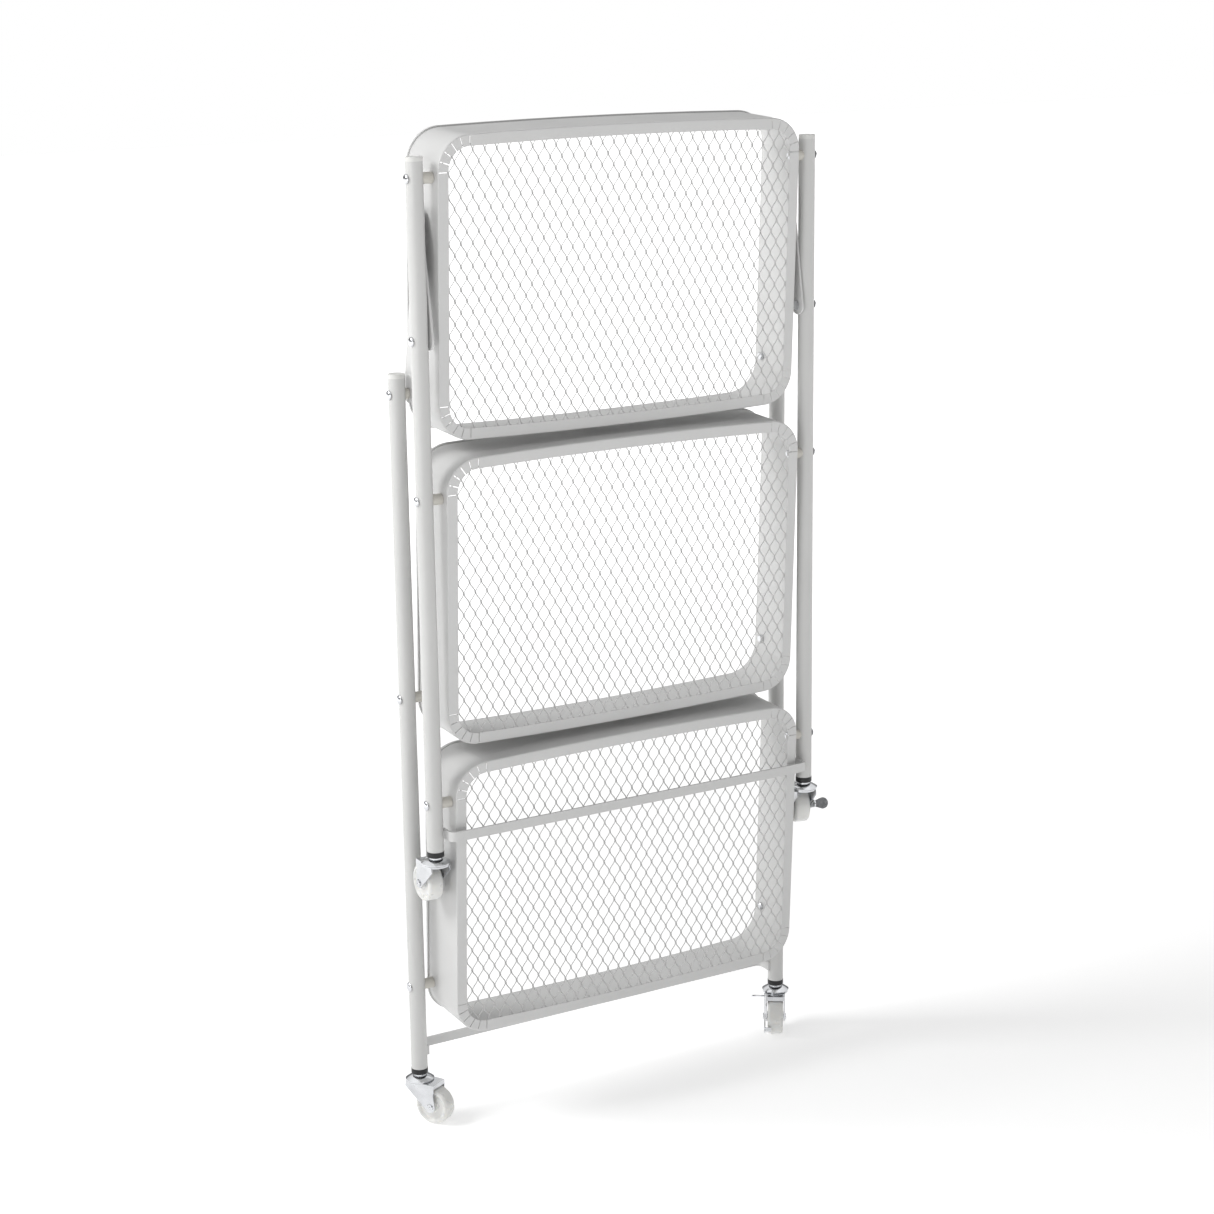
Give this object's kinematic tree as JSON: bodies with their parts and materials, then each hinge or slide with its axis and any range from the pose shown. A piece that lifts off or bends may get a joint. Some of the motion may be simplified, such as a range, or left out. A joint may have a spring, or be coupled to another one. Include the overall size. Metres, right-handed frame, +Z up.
{
  "type": "folding three-tier mesh trolley",
  "caption": "Folding rack on castors: mesh-bottomed trays pinned between two tubular leg frames, with knee braces.",
  "frame": {"origin": "on the floor, midway between the two leg planes, on the mid-plane of the trays' width; the bounding box's centre is 5 mm to the right of it, because the right-hand castors carry brake levers", "axes": "+Z up along the legs, +X across the trays to the right seen from the grille side, +Y from the grilles towards the open rims"},
  "size_m": [0.4987, 0.0954, 1.0487],
  "materials": {
    "powder_coat": "light grey-white powder coat, semi-gloss, with a faint orange peel",
    "tube_coat": "light grey-white powder coat on round tube",
    "mesh_coat": "light grey-white powder coat on expanded metal",
    "chrome": "bright zinc or nickel plate with light scuffs",
    "sleeve_plastic": "natural nylon spacer",
    "cap_plastic": "white moulded plastic",
    "black_plastic": "black moulded plastic",
    "wheel_nylon": "milky translucent nylon"
  },
  "bodies": {
    "rear_frame": {"rear_leg_left": "tube_coat", "rear_leg_right": "tube_coat", "rear_leg_caps": "cap_plastic", "rear_foot_inserts": "black_plastic", "rear_crossbar": "powder_coat", "rear_pivot_pins": "chrome", "rear_pivot_nuts": "chrome", "rear_pivot_sleeves": "sleeve_plastic", "rear_caster_stems": "chrome"},
    "front_frame": {"front_leg_left": "tube_coat", "front_leg_right": "tube_coat", "front_leg_caps": "cap_plastic", "front_foot_inserts": "black_plastic", "front_crossbar": "powder_coat", "front_pivot_pins": "chrome", "front_pivot_nuts": "chrome", "front_pivot_sleeves": "sleeve_plastic", "front_caster_stems": "chrome", "brace_leg_pins": "chrome"},
    "tray_top": {"tray_top_wall": "powder_coat", "tray_top_grille": "mesh_coat"},
    "tray_middle": {"tray_middle_wall": "powder_coat", "tray_middle_grille": "mesh_coat"},
    "tray_bottom": {"tray_bottom_wall": "powder_coat", "tray_bottom_grille": "mesh_coat"},
    "short_link_left": {"short_link_left": "powder_coat", "knee_rivet_outer_left": "chrome"},
    "long_link_left": {"long_link_left": "powder_coat", "knee_rivet_inner_left": "chrome"},
    "short_link_right": {"short_link_right": "powder_coat", "knee_rivet_outer_right": "chrome"},
    "long_link_right": {"long_link_right": "powder_coat", "knee_rivet_inner_right": "chrome"},
    "caster_front_left": {"fork_front_left": "chrome", "axle_front_left": "chrome"},
    "wheel_front_left": {"wheel_front_left": "wheel_nylon"},
    "caster_front_right": {"fork_front_right": "chrome", "axle_front_right": "chrome"},
    "wheel_front_right": {"wheel_front_right": "wheel_nylon"},
    "caster_rear_left": {"fork_rear_left": "chrome", "axle_rear_left": "chrome"},
    "wheel_rear_left": {"wheel_rear_left": "wheel_nylon"},
    "caster_rear_right": {"fork_rear_right": "chrome", "axle_rear_right": "chrome"},
    "wheel_rear_right": {"wheel_rear_right": "wheel_nylon"},
    "brake_lever_front_right": {"brake_lever_front_right": "chrome"},
    "brake_lever_rear_right": {"brake_lever_rear_right": "chrome"}
  },
  "joints": [
    {"name": "fold", "type": "hinge", "parent": "rear_frame", "child": "tray_top", "pos_m": [0, 0.02731, 0.7837], "axis": [1, 0, 0], "range_deg": [0, 87]},
    {"name": "tray_middle_tilt", "type": "hinge", "parent": "rear_frame", "child": "tray_middle", "pos_m": [0, 0.02731, 0.4677], "axis": [1, 0, 0], "range_deg": [0, 87]},
    {"name": "tray_bottom_tilt", "type": "hinge", "parent": "rear_frame", "child": "tray_bottom", "pos_m": [0, 0.02731, 0.1517], "axis": [1, 0, 0], "range_deg": [0, 87]},
    {"name": "front_frame_parallel", "type": "hinge", "parent": "tray_top", "child": "front_frame", "pos_m": [0, -0.02731, 1.00064], "axis": [1, 0, 0], "range_deg": [-87, 0]},
    {"name": "long_link_left_turn", "type": "hinge", "parent": "rear_frame", "child": "long_link_left", "pos_m": [0, 0.02731, 0.7837], "axis": [1, 0, 0], "range_deg": [0, 120.81]},
    {"name": "short_link_left_turn", "type": "hinge", "parent": "front_frame", "child": "short_link_left", "pos_m": [0, -0.02731, 0.84364], "axis": [1, 0, 0], "range_deg": [-38.5, 0]},
    {"name": "long_link_right_turn", "type": "hinge", "parent": "rear_frame", "child": "long_link_right", "pos_m": [0, 0.02731, 0.7837], "axis": [1, 0, 0], "range_deg": [0, 120.81]},
    {"name": "short_link_right_turn", "type": "hinge", "parent": "front_frame", "child": "short_link_right", "pos_m": [0, -0.02731, 0.84364], "axis": [1, 0, 0], "range_deg": [-38.5, 0]},
    {"name": "swivel_front_left", "type": "hinge", "parent": "front_frame", "child": "caster_front_left", "pos_m": [-0.22875, -0.02731, 0.30544], "axis": [0, 0, 1], "range_deg": [-8, 188]},
    {"name": "spin_front_left", "type": "hinge", "parent": "caster_front_left", "child": "wheel_front_left", "pos_m": [-0.22875, -0.00851, 0.28014], "axis": [1, 0, 0], "continuous": true},
    {"name": "swivel_front_right", "type": "hinge", "parent": "front_frame", "child": "caster_front_right", "pos_m": [0.22875, -0.02731, 0.30544], "axis": [0, 0, 1], "range_deg": [-120, 24]},
    {"name": "spin_front_right", "type": "hinge", "parent": "caster_front_right", "child": "wheel_front_right", "pos_m": [0.23425, -0.00934, 0.28014], "axis": [0.9563, -0.2924, 0], "continuous": true},
    {"name": "brake_front_right", "type": "hinge", "parent": "caster_front_right", "child": "brake_lever_front_right", "pos_m": [0.24572, -0.01284, 0.28014], "axis": [0.9563, -0.2924, 0], "range_deg": [0, 15]},
    {"name": "swivel_rear_left", "type": "hinge", "parent": "rear_frame", "child": "caster_rear_left", "pos_m": [-0.22875, 0.02731, 0.0453], "axis": [0, 0, 1], "continuous": true},
    {"name": "spin_rear_left", "type": "hinge", "parent": "caster_rear_left", "child": "wheel_rear_left", "pos_m": [-0.21935, 0.01103, 0.02], "axis": [-0.866, -0.5, 0], "continuous": true},
    {"name": "swivel_rear_right", "type": "hinge", "parent": "rear_frame", "child": "caster_rear_right", "pos_m": [0.22875, 0.02731, 0.0453], "axis": [0, 0, 1], "continuous": true},
    {"name": "spin_rear_right", "type": "hinge", "parent": "caster_rear_right", "child": "wheel_rear_right", "pos_m": [0.21824, 0.01173, 0.02], "axis": [-0.829, 0.5592, 0], "continuous": true},
    {"name": "brake_rear_right", "type": "hinge", "parent": "caster_rear_right", "child": "brake_lever_rear_right", "pos_m": [0.20829, 0.01844, 0.02], "axis": [-0.829, 0.5592, 0], "range_deg": [0, 15]}
  ],
  "couplings": [
    {"joint": "tray_middle_tilt", "follows": "fold", "ratio": 1},
    {"joint": "tray_bottom_tilt", "follows": "fold", "ratio": 1},
    {"joint": "front_frame_parallel", "follows": "fold", "ratio": -1},
    {"joint": "long_link_left_turn", "follows": "fold", "ratio": 1.3887},
    {"joint": "short_link_left_turn", "follows": "fold", "ratio": -0.44248},
    {"joint": "long_link_right_turn", "follows": "fold", "ratio": 1.3887},
    {"joint": "short_link_right_turn", "follows": "fold", "ratio": -0.44248}
  ]
}
